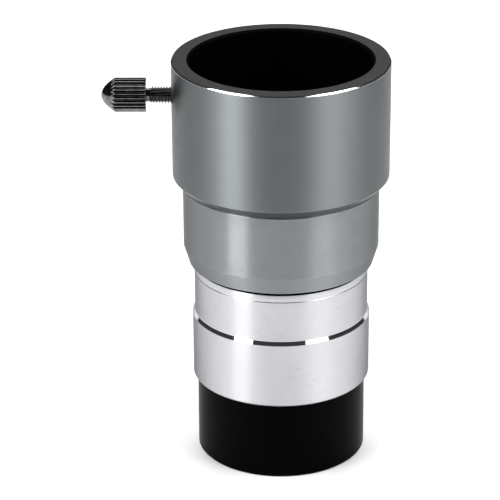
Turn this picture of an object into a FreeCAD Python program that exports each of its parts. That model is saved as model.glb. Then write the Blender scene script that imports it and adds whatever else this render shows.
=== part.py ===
import FreeCAD, Part
import math
import os

# A two-times barlow lens for telescopes that take 1.25 inch eyepieces. Millimetres.
# The optical axis is Z. The origin is on that axis at the open foot of the lens cell, and the
# eyepiece goes in at the top. The clamping thumbscrew sticks out along -X.

V = FreeCAD.Vector
AXIS = V(0, 0, 1)

# Driving diameters.
EYEPIECE_BORE = 31.8
NOSE_OD = 31.7
UNDERCUT_OD = 30.9
CELL_OD = 30.1
SLEEVE_OD = 34.6
CONE_FOOT_OD = 32.8
COLLAR_OD = 38.1
NOSE_BORE = 27.8
FILTER_THREAD = 28.5
GLASS_OD = 24.0
CLEAR_APERTURE = 22.6

# Driving heights above the foot of the lens cell.
CELL_TOP = 14.3
STEP_FOOT = 26.2
STEP_TOP = 26.9
SCRIBED_LINE = 34.4
SHOULDER = 36.5
CONE_TOP = 39.5
EYEPIECE_STOP = 45.0
COLLAR_FOOT = 51.0
COLLAR_WALL_FOOT = 52.7
SCREW_HEIGHT = 67.0
RIM = 73.6

# Thumbscrew, measured outwards from the optical axis.
SCREW_OD = 3.0
SCREW_PITCH = 0.5
TIP_END = 16.0
STEM_END = 17.1
NECK_START = 22.75
KNOB_FACE = 23.34
KNOB_SHOULDER = 28.75
KNOB_END = 31.2
KNOB_OD = 6.0
KNURL_TEETH = 24

# Radii of the hidden sockets, stops and recesses.
NOSE_SOCKET_R = 15.3
LIP_R = 14.6
GLARE_STOP_R = 12.5
CELL_RECESS_R = 12.4
RING_SOCKET_R = 12.45
FILTER_R = 14.1

# Gaps and small edges shared by several pieces.
SHAFT_GAP = 0.05
FACE_GAP = 0.03
THREAD_DEPTH = 0.3
BODY_PITCH = 0.75
FILTER_PITCH = 0.6
BEVEL = 0.25

# Lengths of the threads that hold the body together.
COLLAR_THREAD_LENGTH = 7.5
NOSE_THREAD_TOP = 43.2
LIP_FOOT = 44.2
FILTER_THREAD_DEPTH = 3.8
CELL_THREAD_TOP = 18.7

# The doublet: a biconcave crown over a plano-convex flint with equal curves.
CURVE_RADIUS = 24.6
CROWN_CENTRE = 1.6
FLINT_EDGE = 1.02
RIM_FLAT_RADIUS = 11.4
LENS_SEAT = 14.8
SPACER_THICKNESS = 0.3
RETAINER_FOOT = 4.1


def sag(radius):
    """Height lost at this radius by a spherical face of the doublet."""
    return CURVE_RADIUS - math.sqrt(CURVE_RADIUS**2 - radius**2)


def turned(outline):
    """The solid that a closed outline of (radius, height) points sweeps about the Z axis."""
    corners = [V(radius, 0, height) for radius, height in outline]
    wire = Part.makePolygon(corners + corners[:1])
    return Part.Face(wire).revolve(V(0, 0, 0), AXIS, 360)


def turned_edges(edges):
    """The solid that a closed loop of line and arc edges in the XZ plane sweeps about Z."""
    wire = Part.Wire(Part.__sortEdges__(edges))
    return Part.Face(wire).revolve(V(0, 0, 0), AXIS, 360)


def line(start, end):
    """A straight edge between two (radius, height) points."""
    return Part.makeLine(V(start[0], 0, start[1]), V(end[0], 0, end[1]))


def spherical_edge(vertex, inner, outer):
    """An edge of a face that curves down from its vertex height, between two radii."""
    middle = (inner + outer) / 2
    points = [V(radius, 0, vertex - sag(radius)) for radius in (inner, middle, outer)]
    return Part.Arc(*points).toShape()


def thread_outline(crest, foot, top, pitch):
    """Outline points of an outside thread drawn as rings, from its foot up."""
    turns = int((top - foot) / pitch)
    points = [(crest - THREAD_DEPTH, foot)]
    for turn in range(turns):
        points.append((crest, foot + (turn + 0.5) * pitch))
        points.append((crest - THREAD_DEPTH, foot + (turn + 1) * pitch))
    return points


def on_screw_axis(shape):
    """Lay a piece built along +Z from the optical axis down onto the thumbscrew's axis."""
    shape.rotate(V(0, 0, 0), V(0, 1, 0), -90)
    shape.translate(V(0, 0, SCREW_HEIGHT))
    return shape


def eyepiece_collar():
    """Thick turned ring that takes the eyepiece, with the hole for the thumbscrew."""
    outer = COLLAR_OD / 2
    bore = EYEPIECE_BORE / 2
    mouth = 0.4
    socket = SLEEVE_OD / 2 - 0.3
    socket_top = COLLAR_FOOT + COLLAR_THREAD_LENGTH
    foot_radius = SLEEVE_OD / 2 + 0.05
    ring = turned([
        (bore + mouth, RIM),
        (outer - BEVEL, RIM),
        (outer, RIM - BEVEL),
        (outer, COLLAR_WALL_FOOT),
        (foot_radius, COLLAR_FOOT),
        (socket, COLLAR_FOOT),
        (socket, socket_top),
        (bore, socket_top),
        (bore, RIM - mouth),
    ])
    hole_radius = SCREW_OD / 2 + SHAFT_GAP
    hole = Part.makeCylinder(hole_radius, outer, V(0, 0, bore - 2), AXIS)
    countersink = Part.makeCone(hole_radius, hole_radius + 0.6, 0.6, V(0, 0, outer - 0.25), AXIS)
    return ring.cut(on_screw_axis(hole.fuse(countersink)))


def barrel_sleeve():
    """Lower body tube: a cone at the foot and a threaded tenon that screws into the collar."""
    outer = SLEEVE_OD / 2
    edge = 0.2
    lead_in = 0.6
    crest = outer - 0.3 - SHAFT_GAP
    tenon_top = COLLAR_FOOT + COLLAR_THREAD_LENGTH - FACE_GAP
    outside = [
        (NOSE_SOCKET_R + lead_in, SHOULDER),
        (CONE_FOOT_OD / 2, SHOULDER),
        (outer, CONE_TOP),
        (outer, COLLAR_FOOT - edge),
        (outer - edge, COLLAR_FOOT),
        (crest - THREAD_DEPTH, COLLAR_FOOT),
    ]
    tenon = thread_outline(crest, COLLAR_FOOT + 0.5, tenon_top - 0.2, BODY_PITCH)
    inside = [
        (crest - THREAD_DEPTH, tenon_top),
        (EYEPIECE_BORE / 2, tenon_top),
        (EYEPIECE_BORE / 2, EYEPIECE_STOP),
        (LIP_R, EYEPIECE_STOP),
        (LIP_R, LIP_FOOT),
        (NOSE_SOCKET_R, LIP_FOOT),
        (NOSE_SOCKET_R, SHOULDER + lead_in),
    ]
    return turned(outside + tenon + inside)


def glare_stop():
    """Thin ring clamped between the sleeve's lip and the nosepiece to block stray light."""
    outer = NOSE_SOCKET_R - SHAFT_GAP
    return turned([
        (GLARE_STOP_R, NOSE_THREAD_TOP),
        (outer, NOSE_THREAD_TOP),
        (outer, LIP_FOOT),
        (GLARE_STOP_R + 0.8, LIP_FOOT),
    ])


def nosepiece():
    """Bright 1.25 inch barrel with a safety undercut, screwed up into the sleeve."""
    band = NOSE_OD / 2
    undercut = UNDERCUT_OD / 2
    bore = NOSE_BORE / 2
    cell_socket = FILTER_THREAD / 2 + 0.02
    socket_top = CELL_THREAD_TOP + 0.8
    crest = NOSE_SOCKET_R - SHAFT_GAP
    relief = crest - THREAD_DEPTH
    gap_foot = SHOULDER - 0.85
    line_half = 0.08
    outside = [
        (cell_socket, CELL_TOP),
        (band - 0.35, CELL_TOP),
        (band, CELL_TOP + 0.35),
        (band, STEP_FOOT),
        (undercut, STEP_TOP),
        (undercut, SCRIBED_LINE - line_half),
        (undercut - line_half, SCRIBED_LINE),
        (undercut, SCRIBED_LINE + line_half),
        (undercut - BEVEL, gap_foot),
        (relief, gap_foot),
        (relief, SHOULDER + 0.3),
    ]
    tenon = thread_outline(crest, SHOULDER + 0.3, NOSE_THREAD_TOP - 0.2, BODY_PITCH)
    inside = [
        (relief, NOSE_THREAD_TOP),
        (bore, NOSE_THREAD_TOP),
        (bore, socket_top),
        (cell_socket, socket_top),
    ]
    return turned(outside + tenon + inside)


def lens_cell():
    """Black lens holder that screws up into the nosepiece and takes a filter at its foot."""
    outer = CELL_OD / 2
    shoulder = CELL_TOP - FACE_GAP
    crest = FILTER_THREAD / 2 - SHAFT_GAP
    pocket = GLASS_OD / 2 + SHAFT_GAP
    ring_top = RETAINER_FOOT + 1.8 + FACE_GAP
    lip_top = LENS_SEAT + 1.0
    outside = [
        (FILTER_R, 0),
        (outer - BEVEL, 0),
        (outer, BEVEL),
        (outer, shoulder - 0.15),
        (outer - 0.15, shoulder),
        (crest - THREAD_DEPTH, shoulder),
    ]
    tenon = thread_outline(crest, shoulder + 0.4, CELL_THREAD_TOP - 0.1, FILTER_PITCH)
    inside = [
        (crest - THREAD_DEPTH, CELL_THREAD_TOP),
        (CELL_RECESS_R, CELL_THREAD_TOP),
        (CELL_RECESS_R, lip_top),
        (CLEAR_APERTURE / 2, lip_top),
        (CLEAR_APERTURE / 2, LENS_SEAT),
        (pocket, LENS_SEAT),
        (pocket, ring_top),
        (RING_SOCKET_R, ring_top),
        (RING_SOCKET_R, FILTER_THREAD_DEPTH),
        (FILTER_R, FILTER_THREAD_DEPTH),
    ]
    return turned(outside + tenon + inside)


def crown_lens():
    """Biconcave element on the eyepiece side, with a flat ground round its upper rim."""
    rim = GLASS_OD / 2
    top = LENS_SEAT - FACE_GAP
    upper_vertex = top - sag(RIM_FLAT_RADIUS)
    lower_vertex = upper_vertex - CROWN_CENTRE
    upper = Part.Arc(
        V(0, 0, upper_vertex),
        V(RIM_FLAT_RADIUS / 2, 0, upper_vertex + sag(RIM_FLAT_RADIUS / 2)),
        V(RIM_FLAT_RADIUS, 0, top),
    ).toShape()
    return turned_edges([
        upper,
        line((RIM_FLAT_RADIUS, top), (rim, top)),
        line((rim, top), (rim, lower_vertex - sag(rim))),
        spherical_edge(lower_vertex, 0, rim),
        line((0, lower_vertex), (0, upper_vertex)),
    ])


def flint_vertex():
    """Height of the flint's domed top, one spacer below the crown's hollow."""
    return LENS_SEAT - FACE_GAP - sag(RIM_FLAT_RADIUS) - CROWN_CENTRE - SPACER_THICKNESS


def flint_lens():
    """Plano-convex element whose dome faces the crown."""
    rim = GLASS_OD / 2
    vertex = flint_vertex()
    foot = vertex - sag(rim) - FLINT_EDGE
    return turned_edges([
        spherical_edge(vertex, 0, rim),
        line((rim, vertex - sag(rim)), (rim, foot)),
        line((rim, foot), (0, foot)),
        line((0, foot), (0, vertex)),
    ])


def lens_spacer():
    """Foil ring that keeps the two elements apart at the rim."""
    inner = 11.5
    outer = GLASS_OD / 2 - 0.02
    foot = flint_vertex() + 0.01
    top = flint_vertex() + SPACER_THICKNESS - 0.01
    return turned_edges([
        spherical_edge(top, inner, outer),
        line((outer, top - sag(outer)), (outer, foot - sag(outer))),
        spherical_edge(foot, inner, outer),
        line((inner, foot - sag(inner)), (inner, top - sag(inner))),
    ])


def retaining_ring():
    """Threaded ring under the glass, with two slots for a lens spanner."""
    outer = RING_SOCKET_R - SHAFT_GAP
    inner = CLEAR_APERTURE / 2
    top = RETAINER_FOOT + 1.8
    ring = turned([
        (inner + 0.3, RETAINER_FOOT),
        (outer, RETAINER_FOOT),
        (outer, top),
        (inner, top),
        (inner, RETAINER_FOOT + 0.3),
    ])
    slot_width = 1.2
    slot_depth = 0.8
    slots = Part.makeBox(
        2 * outer + 2, slot_width, slot_depth, V(-outer - 1, -slot_width / 2, RETAINER_FOOT)
    )
    return ring.cut(slots)


def thumbscrew_knob():
    """Bullet-nosed knob with straight V knurls that run out on the nose."""
    radius = KNOB_OD / 2
    nose = KNOB_END - KNOB_SHOULDER
    steps = 10
    outline = [(0, KNOB_FACE), (radius - 0.15, KNOB_FACE), (radius, KNOB_FACE + 0.15)]
    for step in range(steps + 1):
        height = KNOB_SHOULDER + nose * (1 - (1 - step / steps) ** 2)
        outline.append((radius * math.sqrt((KNOB_END - height) / nose), height))
    bullet = turned(outline)

    root = radius - 0.38
    tooth = 2 * math.pi / KNURL_TEETH
    corners = []
    for index in range(KNURL_TEETH):
        for turn, reach in ((-0.13, radius + 0.02), (0.13, radius + 0.02), (0.5, root)):
            angle = (index + turn) * tooth
            corners.append(V(reach * math.cos(angle), reach * math.sin(angle), KNOB_FACE - 1))
    star = Part.Face(Part.makePolygon(corners + corners[:1]))
    knurled = bullet.common(star.extrude(V(0, 0, KNOB_END - KNOB_FACE + 2)))
    hole = Part.makeCylinder(1.25, 4.0, V(0, 0, KNOB_FACE), AXIS)
    return on_screw_axis(knurled.cut(hole))


def thumbscrew_stem():
    """Threaded steel stem: a real single-start helix, a plain neck and a spigot in the knob."""
    crest = SCREW_OD / 2
    root = crest - 0.31
    base = root - 0.06
    helix_start = STEM_END - SCREW_PITCH
    helix = Part.makeHelix(SCREW_PITCH, NECK_START - STEM_END + 2 * SCREW_PITCH, base)
    helix.translate(V(0, 0, helix_start))
    half_foot = 0.205
    half_crest = 0.02
    profile = Part.makePolygon([
        V(base, 0, helix_start - half_foot),
        V(crest, 0, helix_start - half_crest),
        V(crest, 0, helix_start + half_crest),
        V(base, 0, helix_start + half_foot),
        V(base, 0, helix_start - half_foot),
    ])
    ridge = Part.Wire(helix).makePipeShell([profile], True, True)
    threaded_span = Part.makeCylinder(2 * crest, NECK_START - STEM_END, V(0, 0, STEM_END), AXIS)
    core = Part.makeCylinder(root, KNOB_FACE + 3.98 - STEM_END, V(0, 0, STEM_END), AXIS)
    tip_hole = Part.makeCylinder(0.7 + SHAFT_GAP, 1.0, V(0, 0, STEM_END), AXIS)
    return on_screw_axis(core.fuse(ridge.common(threaded_span)).cut(tip_hole))


def thumbscrew_tip():
    """Soft plug in the end of the stem that bears on the eyepiece without marking it."""
    head = Part.makeCylinder(1.1, STEM_END - FACE_GAP - TIP_END, V(0, 0, TIP_END), AXIS)
    spigot = Part.makeCylinder(0.7, 0.95, V(0, 0, STEM_END - FACE_GAP), AXIS)
    return on_screw_axis(head.fuse(spigot).removeSplitter())


PIECES = [
    eyepiece_collar,
    barrel_sleeve,
    glare_stop,
    nosepiece,
    lens_cell,
    crown_lens,
    flint_lens,
    lens_spacer,
    retaining_ring,
    thumbscrew_knob,
    thumbscrew_stem,
    thumbscrew_tip,
]

os.makedirs("parts", exist_ok=True)
for piece in PIECES:
    solid = piece()
    assert solid.isValid(), piece.__name__
    solid.exportStep(f"parts/{piece.__name__}.step")
    print(f"{piece.__name__:18s} {len(solid.Solids)} solid {solid.Volume:9.2f} mm3")
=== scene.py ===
# %% [markdown]
# # A barlow lens, turned and anodised
#
# A barlow lens is a short tube that goes between a telescope's focuser and an eyepiece and
# doubles the magnification. Nearly every piece comes off a lathe, so nearly every piece here is
# an outline swept round one axis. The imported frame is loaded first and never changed: its boxes
# give the sizes, and the looks are built round it in the same metres.

import math
from collections import namedtuple

import bmesh
import bpy
from mathutils import Matrix, Vector


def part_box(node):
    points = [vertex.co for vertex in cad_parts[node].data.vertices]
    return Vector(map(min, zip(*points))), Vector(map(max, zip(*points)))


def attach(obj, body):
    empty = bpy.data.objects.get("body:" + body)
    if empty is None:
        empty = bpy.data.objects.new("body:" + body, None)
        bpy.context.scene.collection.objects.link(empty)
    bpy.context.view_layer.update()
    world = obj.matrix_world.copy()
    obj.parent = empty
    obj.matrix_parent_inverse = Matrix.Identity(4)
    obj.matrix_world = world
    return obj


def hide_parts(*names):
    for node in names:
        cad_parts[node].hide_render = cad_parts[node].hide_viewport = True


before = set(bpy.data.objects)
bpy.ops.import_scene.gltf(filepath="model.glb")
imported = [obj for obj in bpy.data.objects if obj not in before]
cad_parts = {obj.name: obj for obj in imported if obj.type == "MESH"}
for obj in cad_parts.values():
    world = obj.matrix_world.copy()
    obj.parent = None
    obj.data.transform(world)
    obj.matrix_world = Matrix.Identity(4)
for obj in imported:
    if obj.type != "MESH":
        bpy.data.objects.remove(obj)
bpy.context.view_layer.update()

# %% [markdown]
# ## Sizes
#
# A turner works from a few diameters and lengths. The outer ones are read from the frame's
# boxes, in millimetres, so a change there moves the looks with it. The inner ones, such as a
# bore or a chamfer, don't show in a box, and are named beside the piece they belong to.

# %% Read a turned piece's size
MM = 0.001
Turned = namedtuple("Turned", "radius foot top")


def turned_size(node):
    """Largest radius and the two heights of a piece that is turned about Z, in millimetres."""
    low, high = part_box(node)
    return Turned(high.y / MM, low.z / MM, high.z / MM)


COLLAR = turned_size("eyepiece_collar")
SLEEVE = turned_size("barrel_sleeve")
NOSE = turned_size("nosepiece")
CELL = turned_size("lens_cell")
for piece_size in (COLLAR, SLEEVE, NOSE, CELL):
    print("radius {:.2f}, from {:.2f} up to {:.2f} mm".format(*piece_size))

# %% [markdown]
# ## A socket that does arithmetic
#
# A finish is a recipe of sums: so much of this noise, less that mask. Written as nodes, each sum
# is four lines, so one small class wraps a socket and lets Python's own operators add the Math
# nodes. It keeps hold of the workbench it belongs to, and the workbench makes the nodes.


# %% Wrap a socket
class Value:
    """One number that varies over a surface, for use in ordinary sums."""

    def __init__(self, bench, socket):
        self.bench = bench
        self.socket = socket

    def math(self, operation, *operands):
        """A Math node fed by these operands, each a Value or a number."""
        numbered = dict(enumerate(operands))
        return self.bench.node("ShaderNodeMath", {"operation": operation}, numbered)

    def __add__(self, other):
        return self.math("ADD", self, other)

    __radd__ = __add__

    def __mul__(self, other):
        return self.math("MULTIPLY", self, other)

    __rmul__ = __mul__

    def __sub__(self, other):
        return self.math("SUBTRACT", self, other)

    def __rsub__(self, other):
        return self.math("SUBTRACT", other, self)

    def __pow__(self, power):
        return self.math("POWER", self, power)

    def size(self):
        """The number without its sign."""
        return self.math("ABSOLUTE", self)

    def held(self):
        """The number held between 0 and 1."""
        return self.bench.node("ShaderNodeClamp", {}, {"Value": self})

    def ramp(self, low, high):
        """0 up to low, 1 from high, and smooth in between. It falls if low is above high."""
        settings = {"interpolation_type": "SMOOTHSTEP"}
        sockets = {"Value": self, "From Min": low, "From Max": high}
        return self.bench.node("ShaderNodeMapRange", settings, sockets)


print("a Value can be added, scaled, raised, held and ramped")

# %% [markdown]
# ## A workbench for each material
#
# The workbench holds one material's node tree. Its `node` method is the only place where a node
# is made: settings first, because some of them change which sockets exist, and then the sockets.
# Everything is measured in millimetres on the piece itself, so a finish keeps its scale and its
# place when the piece moves.


# %% Lay out the workbench
class Workbench:
    """A new material with its Principled shader and the tools to drive it."""

    def __init__(self, name, **sockets):
        self.material = bpy.data.materials.new(name)
        self.material.use_nodes = True
        self.tree = self.material.node_tree
        self.shader = self.tree.nodes["Principled BSDF"]
        self.drive(**sockets)

    def feed(self, node, sockets):
        """Set each named or numbered socket to a number, a colour or a Value."""
        for key, value in sockets.items():
            if isinstance(value, Value):
                self.tree.links.new(value.socket, node.inputs[key])
            else:
                node.inputs[key].default_value = value

    def node(self, kind, settings, sockets, output=0):
        """Make any node: its settings first, then its sockets. Gives one output as a Value."""
        made = self.tree.nodes.new(kind)
        for key, value in settings.items():
            setattr(made, key, value)
        self.feed(made, sockets)
        return Value(self, made.outputs[output])

    def drive(self, **sockets):
        """Feed the shader's own sockets, with spaces in their names written as underscores."""
        self.feed(self.shader, {key.replace("_", " "): value for key, value in sockets.items()})

    def stretched(self, point, factors):
        """A point with each axis scaled by its own factor."""
        return self.node("ShaderNodeVectorMath", {"operation": "MULTIPLY"}, {0: point, 1: factors})

    def place(self):
        """The point on the piece in millimetres."""
        point = self.node("ShaderNodeTexCoord", {}, {}, "Object")
        return self.stretched(point, (1 / MM, 1 / MM, 1 / MM))

    def axis(self, point, name):
        """One axis, X, Y or Z, of a point."""
        return self.node("ShaderNodeSeparateXYZ", {}, {0: point}, name)

    def noise(self, point, scale=1.0, detail=3.0, roughness=0.5):
        """Cloudy noise round 0.5, with the scale in lumps to a millimetre."""
        sockets = {"Vector": point, "Scale": scale, "Detail": detail, "Roughness": roughness}
        return self.node("ShaderNodeTexNoise", {}, sockets, "Fac")

    def tinted(self, factor, tint, spread=0.2):
        """The tint made darker where the factor is 0 and paler where it is 1."""
        deep = tuple(channel * (1 - spread) for channel in tint) + (1.0,)
        pale = tuple(min(1.0, channel * (1 + spread)) for channel in tint) + (1.0,)
        return self.node("ShaderNodeMix", {"data_type": "RGBA"}, {0: factor, 6: deep, 7: pale}, 2)

    def bumped(self, height, depth):
        """The surface's normal tilted by a height between 0 and 1 over a depth in millimetres."""
        return self.node("ShaderNodeBump", {}, {"Height": height, "Distance": depth * MM}, "Normal")


print("workbench ready, materials so far:", len(bpy.data.materials))

# %% [markdown]
# ## The turned finish
#
# A turned and anodised wall isn't a plain grey. The tool leaves fine rings all the way round, so
# light that falls on it spreads up and down the wall and not sideways, and every lamp is drawn
# out into an upright streak. That spread is the shader's anisotropy, with its direction turned a
# quarter so that it follows the axis. The rings are noise squeezed along the axis and drawn out
# round it. The dye takes a little unevenly, which is a second, cloudier noise. Anodising is a
# dyed layer over bright metal, so towards a tube's flanks, where light takes a longer way through
# the dye, the wall darkens: `flank` is the share that it still reflects there.
#
# Handling rubs the dye off sharp edges first. Each height in `worn` is such an edge, and a
# speckled noise keeps the paler rim from running round in one unbroken line.


# %% Turned metal
def turned_metal(
    name, tint, roughness, streak, flank=1.0, cloud=0.3, rings=0.1, depth=0.001, worn=()
):
    """Metal with rings left by a lathe tool about Z and streaked highlights along it."""
    bench = Workbench(name, Metallic=1.0, Anisotropic=streak, Anisotropic_Rotation=0.25)
    bench.drive(Specular_Tint=(flank, flank, flank, 1.0))
    point = bench.place()
    fine = bench.noise(bench.stretched(point, (0.12, 0.12, 7.0)), detail=2.0, roughness=0.6)
    broad = bench.noise(bench.stretched(point, (0.05, 0.05, 1.3)), detail=2.0)
    clouds = bench.noise(point, scale=0.3, detail=4.0)
    shade = (fine + broad - 1.0) * rings + (clouds - 0.5) * cloud
    if worn:
        height = bench.axis(point, "Z")
        speckle = bench.noise(point, scale=2.5).ramp(0.45, 0.7)
        for edge in worn:
            shade = shade + (height - edge).size().ramp(0.35, 0.05) * speckle * 0.5
    bench.drive(
        Base_Color=bench.tinted((shade + 0.5).held(), tint),
        Roughness=(fine + clouds - 1.0) * 0.1 + roughness,
        Normal=bench.bumped(fine, depth),
    )
    return bench.material


polished_bevel = turned_metal("polished rim bevel", (0.74, 0.76, 0.77), 0.08, 0.0, rings=0.02)
print("made", polished_bevel.name)

# %% [markdown]
# ## The blackened surfaces
#
# Inside a telescope part everything is dyed matt black, because stray light washes out the
# image. The lens cell is the same dye outside. It still shows fine tool rings, which vary its
# roughness and tilt it a little, so they catch some light at grazing angles.


# %% Matt black
BLACK_GLOSS = 0.02


def matt_black(name, tint, roughness):
    """Black anodised metal with faint tool rings about Z."""
    bench = Workbench(name, Specular_IOR_Level=BLACK_GLOSS)
    point = bench.place()
    fine = bench.noise(bench.stretched(point, (0.15, 0.15, 7.0)), detail=4.0, roughness=0.6)
    clouds = bench.noise(point, scale=0.6)
    bench.drive(
        Base_Color=bench.tinted((clouds + fine - 0.5).held(), (tint, tint, tint * 1.1), 0.5),
        Roughness=(fine - 0.5) * 0.25 + roughness,
        Normal=bench.bumped(fine, 0.003),
    )
    return bench.material


black_bore = matt_black("matt black bore", 0.0004, 0.6)
black_cell = matt_black("matt black cell", 0.0004, 0.32)
print("made", black_bore.name, "and", black_cell.name)

# %% [markdown]
# ## The faced end
#
# The collar's flat top is cut with the tool moving straight in towards the axis, which leaves
# rings by radius and not by height. So its noise is fed the distance from the axis. Its dark tint
# is painted shade: the top is the collar's own metal, drawn dark for the dark room it faces.


# %% The faced top, painted dark as shade
def faced_painted_shade(name, tint):
    """A flat end painted dark as shade, with fine rings at steady distances from the axis."""
    bench = Workbench(name, Specular_IOR_Level=BLACK_GLOSS)
    point = bench.place()
    radius = (bench.axis(point, "X") ** 2.0 + bench.axis(point, "Y") ** 2.0) ** 0.5
    across = bench.node("ShaderNodeCombineXYZ", {}, {"X": radius * 6.0})
    rings = bench.noise(across, detail=4.0, roughness=0.7)
    clouds = bench.noise(point, scale=0.5)
    bench.drive(
        Base_Color=bench.tinted((rings * 1.6 + clouds * 0.5 - 0.55).held(), (tint,) * 3, 0.35),
        Roughness=rings * 0.3 + 0.27,
        Normal=bench.bumped(rings, 0.004),
    )
    return bench.material


# The top's dark tint is painted shade, not a dye of its own.
top_painted_shade = faced_painted_shade("faced top with painted shade", 0.03)
print("made", top_painted_shade.name)

# %% [markdown]
# ## Easing the corners
#
# A lathe makes any shape that is an outline swept about an axis. Each corner of the outline says
# how the stretch after it is finished and into how many rows it is cut. No machined corner is
# perfectly sharp, and that sliver of rounding is what glints, so every corner is eased by a few
# hundredths of a millimetre before it is swept, and by no more than a share of a short side. The
# rounding keeps the finish before it.

# %% Turn corners into rows
Corner = namedtuple("Corner", "radius height finish rows", defaults=(1,))
Row = namedtuple("Row", "radius height finish")
BEND = 3
LARGEST_SHARE = 0.4


def eased_rows(outline, easing):
    """Rows of a closed outline with every corner off the axis rounded by the easing."""
    rows = []
    count = len(outline)
    spots = [Vector((corner.radius, corner.height)) for corner in outline]
    for index, corner in enumerate(outline):
        here = spots[index]
        back = spots[index - 1] - here
        ahead = spots[(index + 1) % count] - here
        reach = min(easing, LARGEST_SHARE * back.length, LARGEST_SHARE * ahead.length)
        if here.x == 0:
            reach = 0.0
        start = here + back.normalized() * reach
        end = here + ahead.normalized() * reach
        for step in range(BEND if reach else 0):
            t = step / BEND
            point = start * (1 - t) ** 2 + here * 2 * t * (1 - t) + end * t**2
            rows.append(Row(point.x, point.y, outline[index - 1].finish))
        stop = here + ahead - ahead.normalized() * min(easing, LARGEST_SHARE * ahead.length)
        for step in range(corner.rows):
            point = end.lerp(stop, step / corner.rows)
            rows.append(Row(point.x, point.y, corner.finish))
    return rows


sample = [Corner(1, 0, None), Corner(2, 0, None), Corner(2, 1, None), Corner(1, 1, None)]
print("a square outline of 4 corners becomes", len(eased_rows(sample, 0.05)), "rows")

# %% [markdown]
# ## The lathe
#
# Blender's Screw modifier could sweep an outline, but this one also carries a finish for each
# stretch, and threads and knurls change its radius as it goes round. So the sweep is a short
# function of its own, and `shape` is where a thread or a knurl gets its say.

# %% Sweep an outline
SEGMENTS = 256
EASED = 0.05


def ring_of(mesh, row, segments, shape):
    """One ring of points about Z for a row. A row on the axis is a single point repeated."""
    if row.radius == 0:
        return [mesh.verts.new((0, 0, row.height * MM))] * segments
    ring = []
    for segment in range(segments):
        angle = 2 * math.pi * segment / segments
        radius = shape(angle, row.radius, row.height) if shape else row.radius
        spot = Vector((radius * math.cos(angle), radius * math.sin(angle), row.height))
        ring.append(mesh.verts.new(spot * MM))
    return ring


def sweep(name, outline, segments=SEGMENTS, easing=EASED, shape=None):
    """Sweep a closed outline about Z. shape(angle, radius, height) may change the radius."""
    rows = eased_rows(outline, easing)
    finishes = list(dict.fromkeys(row.finish for row in rows))
    mesh = bmesh.new()
    rings = [ring_of(mesh, row, segments, shape) for row in rows]
    for index, row in enumerate(rows):
        ring = rings[index]
        following = rings[(index + 1) % len(rings)]
        for segment in range(segments):
            after = (segment + 1) % segments
            loop = (ring[segment], ring[after], following[after], following[segment])
            corners = list(dict.fromkeys(loop))
            if len(corners) > 2:
                face = mesh.faces.new(corners)
                face.material_index = finishes.index(row.finish)
    bmesh.ops.recalc_face_normals(mesh, faces=mesh.faces)
    return piece_from(name, mesh, finishes)


def piece_from(name, mesh, finishes):
    """Turn a built mesh into an object in the scene with its finishes."""
    data = bpy.data.meshes.new(name)
    mesh.to_mesh(data)
    mesh.free()
    for finish in finishes:
        data.materials.append(finish)
    piece = bpy.data.objects.new(name, data)
    bpy.context.scene.collection.objects.link(piece)
    return piece


print("lathe ready,", SEGMENTS, "faces to a turn")

# %% [markdown]
# ## Fitting a piece
#
# A finished piece is shaded smooth except across real edges, and weighted normals keep its flats
# flat beside the tiny rounded corners. Then it is told which body it moves with, and the frame
# node it replaces is hidden.


# %% Fit a piece in place of its node
def fitted(piece, body, node):
    """Shade a piece, let it ride on a body and hide the frame node it replaces."""
    piece.data.polygons.foreach_set("use_smooth", [True] * len(piece.data.polygons))
    piece.data.set_sharp_from_angle(angle=math.radians(40))
    weighted = piece.modifiers.new("flats stay flat", "WEIGHTED_NORMAL")
    weighted.keep_sharp = True
    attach(piece, body)
    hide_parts(node)
    print(f"{piece.name}: {len(piece.data.polygons)} faces, rides on {body}")
    return piece


# %% [markdown]
# ## Threads
#
# A thread is a ridge that climbs one pitch in each turn. As the sweep goes round, the ridge's
# height at a point depends only on how far the point is past the nearest turn, so a thread is a
# function of angle and height. It runs out over half a turn at both ends, as a cut thread does.
# Fourteen rows to a pitch are enough for straight flanks and a small flat on the crest. Depths
# and pitches are shared by several pieces, and so is the small gap between faces that meet.

# %% A thread as a change of radius
ROWS_PER_PITCH = 14
BODY_PITCH = 0.75
FILTER_PITCH = 0.6
SCREW_PITCH = 0.5
THREAD_DEPTH = 0.3
SOCKET_THREAD_DEPTH = 0.25
FACE_GAP = 0.03
ROOT_TOLERANCE = 0.02


def threaded(root, crest, foot, top, pitch):
    """A shape for sweep: a right-hand thread between two heights, on rows at the root."""

    def shape(angle, radius, height):
        if abs(radius - root) > ROOT_TOLERANCE or not foot <= height <= top:
            return radius
        turn = (height / pitch - angle / (2 * math.pi)) % 1.0
        ridge = min(1.0, max(0.0, 1.25 - 3.0 * abs(turn - 0.5)))
        runout = min(1.0, 2 * (height - foot) / pitch, 2 * (top - height) / pitch)
        return radius + (crest - root) * ridge * runout

    return shape


def both(first, second):
    """One shape made of two, each of which leaves the other's rows alone."""
    return lambda angle, radius, height: second(angle, first(angle, radius, height), height)


def thread_rows(foot, top, pitch):
    """How many rows a threaded stretch needs."""
    return round(abs(top - foot) / pitch * ROWS_PER_PITCH)


print("a 10 mm body thread needs", thread_rows(0, 10, BODY_PITCH), "rows")

# %% [markdown]
# ## Drilling and sawing
#
# A few cuts aren't round about the main axis: the thumbscrew's hole and the spanner slots. A
# Boolean makes them as the drill and the saw would. Its result is stored in the mesh at once, so
# that no modifier depends on a cutter that is gone.


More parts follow.
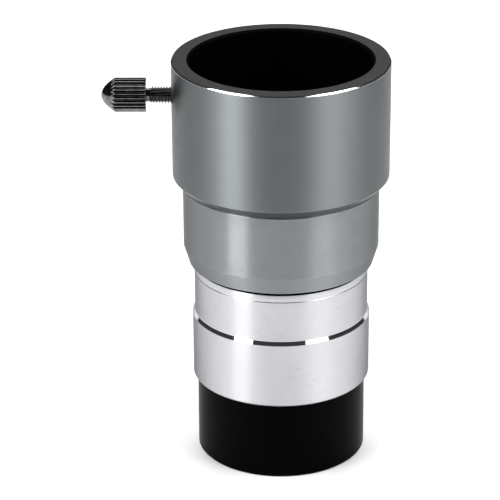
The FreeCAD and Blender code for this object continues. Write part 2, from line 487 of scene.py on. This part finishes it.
# %% Cut one piece out of another
def cut(piece, cutter):
    """Cut one closed mesh out of a piece, keep the cutter's finish in the cut, and remove it."""
    boolean = piece.modifiers.new("cut", "BOOLEAN")
    boolean.object = cutter
    boolean.solver = "EXACT"
    boolean.material_mode = "TRANSFER"
    bpy.context.view_layer.update()
    evaluated = piece.evaluated_get(bpy.context.evaluated_depsgraph_get())
    result = bpy.data.meshes.new_from_object(evaluated)
    piece.modifiers.remove(boolean)
    piece.data = result
    bpy.data.objects.remove(cutter)
    return piece


print("cutting tools ready")

# %% [markdown]
# ## The eyepiece collar
#
# The thick ring at the top takes the eyepiece. Its wall is gunmetal, its top is painted dark as
# shade, and the thin bevel between them is polished, so it shows the lamps as hard white and black
# dashes. The chamfer at its foot is the same gunmetal with a darker tint, painted shade where it
# faces down at the sleeve, and a smoother finish. The wall is cut into rows so that the long thin
# faces of the sweep aren't all disturbed by the hole.

# %% Turn the collar
EYEPIECE_BORE = 15.9
COLLAR_SOCKET = 17.0
SOCKET_END = 58.5
WALL_FOOT = 52.7
BEVEL = 0.25
MOUTH = 0.4
FOOT_GAP = 0.05

gunmetal = turned_metal(
    "gunmetal collar", (0.2, 0.215, 0.22), 0.5, 0.9, worn=(COLLAR.top - BEVEL, WALL_FOOT)
)
# The chamfer's darker tint is painted shade; its lower roughness is real.
chamfer_painted_shade = turned_metal("gunmetal chamfer with painted shade", (0.12, 0.13, 0.135), 0.3, 0.6)
collar = sweep("collar_turned", [
    Corner(EYEPIECE_BORE + MOUTH, COLLAR.top, top_painted_shade),
    Corner(COLLAR.radius - BEVEL, COLLAR.top, polished_bevel),
    Corner(COLLAR.radius, COLLAR.top - BEVEL, gunmetal, 20),
    Corner(COLLAR.radius, WALL_FOOT, chamfer_painted_shade),
    Corner(SLEEVE.radius + FOOT_GAP, COLLAR.foot, black_bore),
    Corner(COLLAR_SOCKET, COLLAR.foot, black_bore),
    Corner(COLLAR_SOCKET, SOCKET_END, black_bore),
    Corner(EYEPIECE_BORE, SOCKET_END, black_bore, 14),
    Corner(EYEPIECE_BORE, COLLAR.top - MOUTH, black_bore),
])
print("collar wall is", round(COLLAR.radius - EYEPIECE_BORE, 2), "mm thick")

# %% [markdown]
# ## The thumbscrew's hole
#
# The hole goes straight in from the side at the knob's height, with a countersink that leaves a
# clean dark rim. The cutter is swept about Z like everything else and then laid over, and the
# same helper lays the thumbscrew itself on that axis later.

# %% Drill the collar
knob_low, knob_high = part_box("thumbscrew_knob")
SCREW_HEIGHT = (knob_low.z + knob_high.z) / 2 / MM
SCREW_HOLE = 1.55
COUNTERSINK = 0.6
COUNTERSINK_START = COLLAR.radius - 0.25
DRILL_END = 14.0


def laid_over(piece):
    """Lay a piece swept about Z onto the thumbscrew's axis, with its height now running to -X."""
    turn = Matrix.Rotation(math.radians(-90), 4, "Y")
    piece.data.transform(Matrix.Translation((0, 0, SCREW_HEIGHT * MM)) @ turn)
    return piece


drill = laid_over(sweep("drill", [
    Corner(0, DRILL_END, black_bore),
    Corner(SCREW_HOLE, DRILL_END, black_bore),
    Corner(SCREW_HOLE, COUNTERSINK_START, black_bore),
    Corner(SCREW_HOLE + COUNTERSINK, COUNTERSINK_START + COUNTERSINK, black_bore),
    Corner(0, COUNTERSINK_START + COUNTERSINK, black_bore),
], segments=64, easing=0.0))
fitted(cut(collar, drill), "housing", "eyepiece_collar")
print("hole drilled at", round(SCREW_HEIGHT, 2), "mm")

# %% [markdown]
# ## The sleeve
#
# The lower tube screws up into the collar. It is anodised in the same dye but cut finer, so it
# is a shade paler and its streaks are sharper. The small edge where it meets the collar is tinted
# paler, a painted highlight, and it and the cone at its foot are what the eye reads as its shape.

# %% Turn the sleeve
CONE_FOOT = 16.4
CONE_TOP = 39.5
NOSE_SOCKET = 15.3
EYEPIECE_STOP = 45.0
LIP = 14.6
LIP_FOOT = 44.2
LEAD_IN = 0.6
SLEEVE_THREAD = 16.65
SLEEVE_EDGE = 0.2
SLEEVE_THREAD_ROWS = thread_rows(COLLAR.foot, SLEEVE.top, BODY_PITCH)

pale_gunmetal = turned_metal(
    "pale gunmetal sleeve", (0.245, 0.26, 0.267), 0.3, 1.0,
    flank=0.45, cloud=0.5, worn=(CONE_TOP, SLEEVE.foot),
)
# The edge's pale tint is a painted highlight on its small chamfer.
edge_painted_highlight = turned_metal("sleeve edge with painted highlight", (0.45, 0.46, 0.46), 0.35, 0.6)
sleeve = sweep("sleeve_turned", [
    Corner(NOSE_SOCKET + LEAD_IN, SLEEVE.foot, pale_gunmetal),
    Corner(CONE_FOOT, SLEEVE.foot, pale_gunmetal),
    Corner(SLEEVE.radius, CONE_TOP, pale_gunmetal, 4),
    Corner(SLEEVE.radius, COLLAR.foot - SLEEVE_EDGE, edge_painted_highlight),
    Corner(SLEEVE.radius - SLEEVE_EDGE, COLLAR.foot, pale_gunmetal),
    Corner(SLEEVE_THREAD, COLLAR.foot, pale_gunmetal, SLEEVE_THREAD_ROWS),
    Corner(SLEEVE_THREAD, SLEEVE.top, black_bore),
    Corner(EYEPIECE_BORE, SLEEVE.top, black_bore, 4),
    Corner(EYEPIECE_BORE, EYEPIECE_STOP, black_bore),
    Corner(LIP, EYEPIECE_STOP, black_bore),
    Corner(LIP, LIP_FOOT, black_bore),
    Corner(NOSE_SOCKET, LIP_FOOT, black_bore, 4),
    Corner(NOSE_SOCKET, SLEEVE.foot + LEAD_IN, black_bore),
], shape=threaded(
    SLEEVE_THREAD, SLEEVE_THREAD + THREAD_DEPTH, COLLAR.foot + 0.5, SLEEVE.top - 0.2, BODY_PITCH
))
fitted(sleeve, "housing", "barrel_sleeve")

# %% [markdown]
# ## The glare stop
#
# A thin black ring is trapped under the sleeve's lip. It stops light that grazes the nosepiece's
# bore. Its hole is a knife edge, because a thick edge would itself catch and throw light.

# %% Turn the glare stop
STOP = turned_size("glare_stop")
STOP_HOLE = 12.5
KNIFE_SLOPE = 0.8
glare_stop = sweep("glare_stop_turned", [
    Corner(STOP_HOLE, STOP.foot, black_bore),
    Corner(STOP.radius, STOP.foot, black_bore),
    Corner(STOP.radius, STOP.top, black_bore),
    Corner(STOP_HOLE + KNIFE_SLOPE, STOP.top, black_bore),
])
fitted(glare_stop, "housing", "glare_stop")

# %% [markdown]
# ## The nosepiece
#
# The bright barrel is the part that slides into the telescope. The shallow undercut is there so
# that the focuser's clamping screw catches the barlow if it works loose. The short slope below
# the undercut is polished like a mirror, and a fine scribed line runs round above it. The band
# above the line tapers slightly and is also tinted a little paler, a painted highlight. Just under
# the sleeve a narrow relief makes a shadow gap, and its faces are painted matt black as painted
# shade. Its bore is blackened, with the thread for the lens cell at its foot.

# %% Turn the nosepiece
UNDERCUT = 15.45
STEP_FOOT = 26.2
STEP_TOP = 26.9
SCRIBED_LINE = 34.4
LINE = 0.08
BAND_TAPER = 0.08
NOSE_EDGE = 0.35
GAP_FOOT = SLEEVE.foot - 0.85
GAP_TOP = SLEEVE.foot + 0.3
NOSE_THREAD = 14.95
NOSE_BORE = 13.9
CELL_SOCKET = 14.27
SOCKET_TOP = CELL.top + 0.8
NOSE_THREAD_ROWS = thread_rows(SLEEVE.foot, NOSE.top, BODY_PITCH)
SOCKET_THREAD_ROWS = thread_rows(NOSE.foot, SOCKET_TOP, FILTER_PITCH)

bright_satin = turned_metal(
    "bright satin barrel", (0.54, 0.535, 0.56), 0.25, 0.95,
    flank=0.3, cloud=0.12, rings=0.06, depth=0.0004,
)
# The band is the barrel's own satin; its slight taper is real and its paler tint is a painted
# highlight.
band_painted_highlight = turned_metal(
    "band above the line with painted highlight", (0.58, 0.58, 0.6), 0.3, 0.84, flank=0.4, cloud=0.1
)
polished_step = turned_metal("polished step", (0.88, 0.88, 0.9), 0.05, 0.0, flank=0.3, rings=0.01)
nose = sweep("nosepiece_turned", [
    Corner(CELL_SOCKET, NOSE.foot, bright_satin),
    Corner(NOSE.radius - NOSE_EDGE, NOSE.foot, bright_satin),
    Corner(NOSE.radius, NOSE.foot + NOSE_EDGE, bright_satin, 6),
    Corner(NOSE.radius, STEP_FOOT, polished_step),
    Corner(UNDERCUT, STEP_TOP, bright_satin, 6),
    Corner(UNDERCUT, SCRIBED_LINE - LINE, bright_satin),
    Corner(UNDERCUT - LINE, SCRIBED_LINE, bright_satin),
    Corner(UNDERCUT, SCRIBED_LINE + LINE, band_painted_highlight),
    # The relief's faces are painted matt black: painted shade for the gap under the sleeve.
    Corner(UNDERCUT - BAND_TAPER, GAP_FOOT, black_bore),
    Corner(NOSE_THREAD, GAP_FOOT, black_bore),
    Corner(NOSE_THREAD, GAP_TOP, bright_satin, NOSE_THREAD_ROWS),
    Corner(NOSE_THREAD, NOSE.top, black_bore),
    Corner(NOSE_BORE, NOSE.top, black_bore, 8),
    Corner(NOSE_BORE, SOCKET_TOP, black_bore),
    Corner(CELL_SOCKET, SOCKET_TOP, black_bore, SOCKET_THREAD_ROWS),
], shape=both(
    threaded(
        NOSE_THREAD, NOSE_THREAD + THREAD_DEPTH, SLEEVE.foot + 0.35, NOSE.top - 0.2, BODY_PITCH
    ),
    threaded(
        CELL_SOCKET, CELL_SOCKET + SOCKET_THREAD_DEPTH,
        NOSE.foot + 0.2, SOCKET_TOP - 0.3, FILTER_PITCH,
    ),
))
fitted(nose, "housing", "nosepiece")

# %% [markdown]
# ## The lens cell
#
# The black foot holds the glass and unscrews from the nosepiece. It has a thread at both ends:
# outside at the top for the nosepiece, inside at the foot for a filter.

# %% Turn the cell
RETAINER = turned_size("retaining_ring")
CROWN = turned_size("crown_lens")
CLEAR_APERTURE = 11.3
LENS_SEAT = 14.8
SEAT_TOP = LENS_SEAT + 1.0
CELL_THREAD = 13.9
CELL_SHOULDER = NOSE.foot - FACE_GAP
CELL_EDGE = 0.15
CELL_RECESS = 12.4
FILTER_THREAD = 14.1
FILTER_DEPTH = 3.8
POCKET = CROWN.radius + 0.05
RING_SOCKET = 12.45
RING_SOCKET_TOP = RETAINER.top + FACE_GAP
CELL_THREAD_ROWS = thread_rows(CELL_SHOULDER, CELL.top, FILTER_PITCH)
FILTER_THREAD_ROWS = thread_rows(CELL.foot, FILTER_DEPTH, FILTER_PITCH)

cell = sweep("cell_turned", [
    Corner(FILTER_THREAD, CELL.foot, black_cell),
    Corner(CELL.radius - BEVEL, CELL.foot, black_cell),
    Corner(CELL.radius, CELL.foot + BEVEL, black_cell, 6),
    Corner(CELL.radius, CELL_SHOULDER - CELL_EDGE, black_cell),
    Corner(CELL.radius - CELL_EDGE, CELL_SHOULDER, black_cell),
    Corner(CELL_THREAD, CELL_SHOULDER, black_cell, CELL_THREAD_ROWS),
    Corner(CELL_THREAD, CELL.top, black_cell),
    Corner(CELL_RECESS, CELL.top, black_cell),
    Corner(CELL_RECESS, SEAT_TOP, black_cell),
    Corner(CLEAR_APERTURE, SEAT_TOP, black_cell),
    Corner(CLEAR_APERTURE, LENS_SEAT, black_cell),
    Corner(POCKET, LENS_SEAT, black_cell),
    Corner(POCKET, RING_SOCKET_TOP, black_cell),
    Corner(RING_SOCKET, RING_SOCKET_TOP, black_cell),
    Corner(RING_SOCKET, FILTER_DEPTH, black_cell),
    Corner(FILTER_THREAD, FILTER_DEPTH, black_cell, FILTER_THREAD_ROWS),
], shape=both(
    threaded(
        CELL_THREAD, CELL_THREAD + THREAD_DEPTH, CELL_SHOULDER + 0.3, CELL.top - 0.1, FILTER_PITCH
    ),
    threaded(
        FILTER_THREAD, FILTER_THREAD + SOCKET_THREAD_DEPTH,
        CELL.foot + 0.1, FILTER_DEPTH - 0.3, FILTER_PITCH,
    ),
))
fitted(cell, "cell", "lens_cell")

# %% [markdown]
# ## The retaining ring
#
# A threaded ring presses the glass against its seat. It has two slots for a lens spanner, which
# one pass of a saw straight across the ring makes together.

# %% Turn the ring and saw its slots
SLOT_WIDTH = 1.2
SLOT_DEPTH = 0.8
SAW_LENGTH = 27.0
RING_BEVEL = 0.3
ring = sweep("ring_turned", [
    Corner(CLEAR_APERTURE + RING_BEVEL, RETAINER.foot, black_cell),
    Corner(RETAINER.radius, RETAINER.foot, black_cell),
    Corner(RETAINER.radius, RETAINER.top, black_cell),
    Corner(CLEAR_APERTURE, RETAINER.top, black_cell),
    Corner(CLEAR_APERTURE, RETAINER.foot + RING_BEVEL, black_cell),
])
saw_mesh = bmesh.new()
blade = bmesh.ops.create_cube(saw_mesh, size=MM)["verts"]
bmesh.ops.scale(saw_mesh, vec=(SAW_LENGTH, SLOT_WIDTH, 2 * SLOT_DEPTH), verts=blade)
bmesh.ops.translate(saw_mesh, vec=(0, 0, RETAINER.foot * MM), verts=blade)
saw = piece_from("saw", saw_mesh, [black_cell])
fitted(cut(ring, saw), "cell", "retaining_ring")

# %% [markdown]
# ## The glass
#
# The doublet is a biconcave crown over a flint with one domed face, both ground to the same
# radius. Clear glass takes its look from what it bends and reflects, so its material is mostly
# its refractive index, with the faintest smears left by cleaning.


# %% Melt the glass
def clear_glass(name, index):
    """Clear optical glass with slight cleaning smears."""
    bench = Workbench(name, IOR=index, Transmission_Weight=1.0)
    smears = bench.noise(bench.place(), scale=0.3, detail=5.0)
    bench.drive(
        Base_Color=bench.tinted(smears, (0.95, 0.99, 0.965), 0.02),
        Roughness=smears.ramp(0.55, 0.8) * 0.05,
    )
    return bench.material


crown_glass = clear_glass("crown glass", 1.517)
flint_glass = clear_glass("flint glass", 1.62)
print("made", crown_glass.name, "and", flint_glass.name)

# %% [markdown]
# A ground face is part of a sphere. `sag` is how far it has dropped at a given radius, and a
# face's outline is just that, stepped out from the axis.

# %% Grind the two elements
LENS_CURVE = 24.6
RIM_FLAT = 11.4
CROWN_CENTRE = 1.6
GLASS_SEGMENTS = 128
GLASS_EDGE = 0.02
FLINT = turned_size("flint_lens")


def sag(radius):
    """Height lost at this radius by a face ground to the doublet's curve."""
    return LENS_CURVE - math.sqrt(LENS_CURVE**2 - radius**2)


def ground(centre, inner, outer, sign, finish, steps=24):
    """Corners along a spherical face, from the inner radius to the outer."""
    radii = [inner + (outer - inner) * step / steps for step in range(steps + 1)]
    return [Corner(radius, centre + sign * sag(radius), finish) for radius in radii]


upper_centre = CROWN.top - sag(RIM_FLAT)
lower_centre = upper_centre - CROWN_CENTRE
crown = sweep("crown_element", [
    *ground(upper_centre, 0, RIM_FLAT, 1, crown_glass),
    Corner(CROWN.radius, CROWN.top, crown_glass),
    *reversed(ground(lower_centre, 0, CROWN.radius, -1, crown_glass)),
], segments=GLASS_SEGMENTS, easing=GLASS_EDGE)
fitted(crown, "doublet", "crown_lens")

flint = sweep("flint_element", [
    *ground(FLINT.top, 0, FLINT.radius, -1, flint_glass),
    Corner(FLINT.radius, FLINT.foot, flint_glass),
    Corner(0, FLINT.foot, flint_glass),
], segments=GLASS_SEGMENTS, easing=GLASS_EDGE)
fitted(flint, "doublet", "flint_lens")

# %% [markdown]
# ## The spacer
#
# A ring of foil keeps the two curves from touching. It is cut from rolled sheet, so its lines
# run straight across it and not round it, and it lies on the curve of the glass.


# %% Cut the foil
def rolled_foil(name, tint):
    """Thin metal foil with its rolling lines along X."""
    bench = Workbench(name, Metallic=1.0)
    lines = bench.noise(bench.stretched(bench.place(), (0.3, 8.0, 8.0)))
    bench.drive(Base_Color=bench.tinted(lines, tint), Roughness=(lines - 0.5) * 0.2 + 0.3)
    return bench.material


SPACER_HOLE = 11.5
FOIL_TOP = lower_centre - 0.02
FOIL_FOOT = lower_centre - 0.28
SPACER = turned_size("lens_spacer")
foil = rolled_foil("spacer foil", (0.54, 0.53, 0.5))
spacer = sweep("spacer_foil_ring", [
    *ground(FOIL_TOP, SPACER_HOLE, SPACER.radius, -1, foil, 4),
    *reversed(ground(FOIL_FOOT, SPACER_HOLE, SPACER.radius, -1, foil, 4)),
], segments=GLASS_SEGMENTS, easing=0.01)
fitted(spacer, "doublet", "lens_spacer")

# %% [markdown]
# ## The thumbscrew's plating
#
# The thumbscrew is plated dark and bright, so it is nearly a mirror with a grey tint and shows
# the studio as hard blacks and whites. Finger grease leaves soft smears on it. The stem, with
# its thread, has the same plating with a darker tint, painted shade for the thread.


# %% Plate the screw
def dark_plate(name, tint):
    """Bright dark plating with soft smears and a fine grain."""
    bench = Workbench(name, Metallic=1.0)
    point = bench.place()
    smears = bench.noise(point, scale=1.1, detail=4.0)
    grain = bench.noise(point, scale=14.0, detail=2.0)
    bench.drive(
        Base_Color=bench.tinted(smears.ramp(0.35, 0.65), (tint,) * 3, 0.25),
        Roughness=(smears - 0.5) * 0.1 + (grain - 0.5) * 0.04 + 0.08,
        Normal=bench.bumped(grain, 0.001),
    )
    return bench.material


dark_chrome = dark_plate("dark bright plating", 0.16)
# The stem's darker tint is painted shade; it is the same plating as the knob.
plating_painted_dark = dark_plate("stem plating with painted shade", 0.09)
print("made", dark_chrome.name, "and", plating_painted_dark.name)

# %% [markdown]
# ## The knob
#
# The knob is a bullet with straight V cuts. The cuts are parallel to its axis, so where the nose
# falls away they run out by themselves in points: the radius is the smaller of the bullet's and
# the cut's. The nose's rows crowd together towards the tip, where the curve is tightest.

# %% Knurl the knob
KNOB_FACE = -knob_high.x / MM
KNOB_END = -knob_low.x / MM
KNOB_RADIUS = knob_high.y / MM
KNOB_NOSE = 2.45
KNURLS = 24
KNURL_DEPTH = 0.38
KNURL_LAND = 0.2
KNOB_EDGE = 0.15
STEM_HOLE = 1.25
HOLE_DEPTH = 4.0
BULLET_ROWS = 28


def knurled(angle, radius, _):
    """The smaller of the row's radius and the radius of the V cuts at this angle."""
    turn = abs((angle * KNURLS / (2 * math.pi)) % 1.0 - 0.5) * 2
    depth = min(1.0, max(0.0, (turn - KNURL_LAND) / (1 - KNURL_LAND)))
    return min(radius, KNOB_RADIUS - KNURL_DEPTH * depth)


bullet = []
for row_number in range(BULLET_ROWS):
    left = (1 - row_number / BULLET_ROWS) ** 2
    bullet.append(Corner(KNOB_RADIUS * math.sqrt(left), KNOB_END - KNOB_NOSE * left, dark_chrome))
knob = sweep("knob_knurled", [
    Corner(STEM_HOLE, KNOB_FACE, dark_chrome),
    Corner(KNOB_RADIUS - KNOB_EDGE, KNOB_FACE, dark_chrome),
    Corner(KNOB_RADIUS, KNOB_FACE + KNOB_EDGE, dark_chrome, 6),
    *bullet,
    Corner(0, KNOB_END, dark_chrome),
    Corner(0, KNOB_FACE + HOLE_DEPTH, dark_chrome),
    Corner(STEM_HOLE, KNOB_FACE + HOLE_DEPTH, dark_chrome),
], segments=KNURLS * 16, easing=0.02, shape=knurled)
fitted(laid_over(knob), "screw", "thumbscrew_knob")

# %% [markdown]
# ## The stem
#
# The stem's thread is a real helix, cut up to a plain neck under the knob. Its end has a small
# hole for the soft plug.

# %% Cut the stem's thread
stem_low, stem_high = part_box("thumbscrew_stem")
STEM_ROOT = 1.19
STEM_CREST = 1.5
STEM_END = -stem_high.x / MM
STEM_TOP = -stem_low.x / MM
NECK = 22.75
PLUG_HOLE = 0.75
PLUG_HOLE_TOP = STEM_END + 1.0
STEM_THREAD_ROWS = thread_rows(STEM_END, NECK, SCREW_PITCH)
stem = sweep("stem_threaded", [
    Corner(PLUG_HOLE, STEM_END, plating_painted_dark),
    Corner(STEM_ROOT, STEM_END, plating_painted_dark, STEM_THREAD_ROWS),
    Corner(STEM_ROOT, NECK, plating_painted_dark, 4),
    Corner(STEM_ROOT, STEM_TOP, plating_painted_dark),
    Corner(0, STEM_TOP, plating_painted_dark),
    Corner(0, PLUG_HOLE_TOP, plating_painted_dark),
    Corner(PLUG_HOLE, PLUG_HOLE_TOP, plating_painted_dark),
], segments=96, easing=0.02, shape=threaded(
    STEM_ROOT, STEM_CREST, STEM_END + 0.02, NECK, SCREW_PITCH
))
fitted(laid_over(stem), "screw", "thumbscrew_stem")

# %% [markdown]
# ## The soft plug
#
# A nylon plug in the stem's end presses on the eyepiece, so that the screw doesn't mark it.
# Natural nylon is milky and slightly mottled. Its corners are eased more, because it wears.


# %% Turn the plug
def nylon(name, tint):
    """Natural nylon, milky and a little mottled."""
    bench = Workbench(name)
    mottle = bench.noise(bench.place(), scale=3.0, detail=4.0)
    bench.drive(
        Base_Color=bench.tinted(mottle, tint, 0.1),
        Roughness=(mottle - 0.5) * 0.2 + 0.42,
        Normal=bench.bumped(mottle, 0.01),
    )
    return bench.material


TIP_END = -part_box("thumbscrew_tip")[1].x / MM
HEAD = 1.1
SPIGOT = 0.7
HEAD_TOP = STEM_END - FACE_GAP
SPIGOT_TOP = STEM_END + 0.92
PLUG_WEAR = 0.15
natural_nylon = nylon("natural nylon", (0.78, 0.765, 0.7))
plug = sweep("plug_nylon", [
    Corner(0, TIP_END, natural_nylon),
    Corner(HEAD, TIP_END, natural_nylon),
    Corner(HEAD, HEAD_TOP, natural_nylon),
    Corner(SPIGOT, HEAD_TOP, natural_nylon),
    Corner(SPIGOT, SPIGOT_TOP, natural_nylon),
    Corner(0, SPIGOT_TOP, natural_nylon),
], segments=64, easing=PLUG_WEAR)
fitted(laid_over(plug), "screw_plug", "thumbscrew_tip")

# %% [markdown]
# ## The table
#
# Polished metal shows its surroundings more than itself, so the table matters: walls seen from
# above reflect it and not the lamps. It is pale and matt, with the faintest grain.
#
# The barlow stands on its lens cell, so the table rides on the cell. When the cell is unscrewed
# it comes out downwards, and the barlow then stands taller on the table and doesn't sink into it.

# %% Lay the table
TABLE_HALF = 1.5
table_mesh = bmesh.new()
bmesh.ops.create_grid(table_mesh, x_segments=8, y_segments=8, size=TABLE_HALF)
table_bench = Workbench("pale table")
grain = table_bench.noise(table_bench.place(), scale=0.05, detail=4.0)
table_bench.drive(
    Base_Color=table_bench.tinted(grain, (0.925, 0.925, 0.925), 0.02),
    Roughness=(grain - 0.5) * 0.1 + 0.7,
)
table = piece_from("table", table_mesh, [table_bench.material])
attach(table, "cell")
print("table is", 2 * TABLE_HALF, "m square")

# %% [markdown]
# ## The lamps
#
# Each lamp is a soft box aimed at the middle of the barlow, placed by its direction. The low
# boxes, left and right of the camera, draw the upright streaks on the walls and the dashes on
# the polished step. The high ones light the table and the rim's bevel. The room above the camera
# stays dark, because the black between the dashes is a reflection too. A lamp's brightness is
# what a mirror would show of it, so its power grows with its area.

# %% Light the studio
AIM_HEIGHT = 37.0
MIDDLE = Vector((0, 0, AIM_HEIGHT * MM))
LAMP_DISTANCE = 0.9


def direction(azimuth, elevation):
    """The way out from the barlow. Azimuth 0 is the camera's side, and 90 is to its right."""
    around = math.radians(azimuth)
    up = math.radians(elevation)
    return Vector((math.sin(around) * math.cos(up), -math.cos(around) * math.cos(up), math.sin(up)))


def placed(name, data, way, distance):
    """Put a lamp or a camera out along a way from the barlow's middle, looking back at it."""
    holder = bpy.data.objects.new(name, data)
    holder.location = MIDDLE + way * distance
    holder.rotation_euler = way.to_track_quat("Z", "Y").to_euler()
    bpy.context.scene.collection.objects.link(holder)
    return holder


def soft_box(name, azimuth, elevation, width, height, brightness):
    """An area lamp with its width and height in metres."""
    lamp = bpy.data.lights.new(name, "AREA")
    lamp.shape = "RECTANGLE"
    lamp.size = width
    lamp.size_y = height
    lamp.energy = brightness * math.pi * width * height
    print(f"{name}: {lamp.energy:.1f} W")
    return placed(name, lamp, direction(azimuth, elevation), LAMP_DISTANCE)


soft_box("left low box", -50, 20, 0.36, 0.58, 5.8)
soft_box("left high box", -76, 52, 0.46, 0.5, 7.0)
soft_box("right low box", 48, 22, 0.46, 0.58, 1.7)
soft_box("right high box", 74, 50, 0.6, 0.5, 7.0)
soft_box("back box", 180, 47, 0.6, 0.5, 5.5)

# %% [markdown]
# ## The room
#
# The room itself is nearly dark, with a trace of cool light so that no reflection is fully black.
# The standard view keeps the greys as they are, where a film-like one would flatten them.

# %% Dim the room
world = bpy.data.worlds.new("dim room")
world.use_nodes = True
room = world.node_tree.nodes["Background"]
room.inputs["Color"].default_value = (0.8, 0.82, 0.85, 1.0)
room.inputs["Strength"].default_value = 0.05
bpy.context.scene.world = world
bpy.context.scene.view_settings.view_transform = "Standard"
print("room strength", room.inputs["Strength"].default_value)

# %% [markdown]
# ## The camera
#
# A long lens from a little above, as for a catalogue: it keeps the cylinders nearly straight and
# opens the rim into an ellipse. The shift slides the picture without tilting the barlow.

# %% Set the camera
CAMERA_ELEVATION = 23.71
CAMERA_DISTANCE = 0.457
lens = bpy.data.cameras.new("camera")
lens.lens = 184.85
lens.sensor_width = 36.0
lens.shift_x = -0.0622
lens.shift_y = 0.0063
camera = placed("camera", lens, direction(0, CAMERA_ELEVATION), CAMERA_DISTANCE)
bpy.context.scene.camera = camera
print("camera at", tuple(round(value, 4) for value in camera.location))
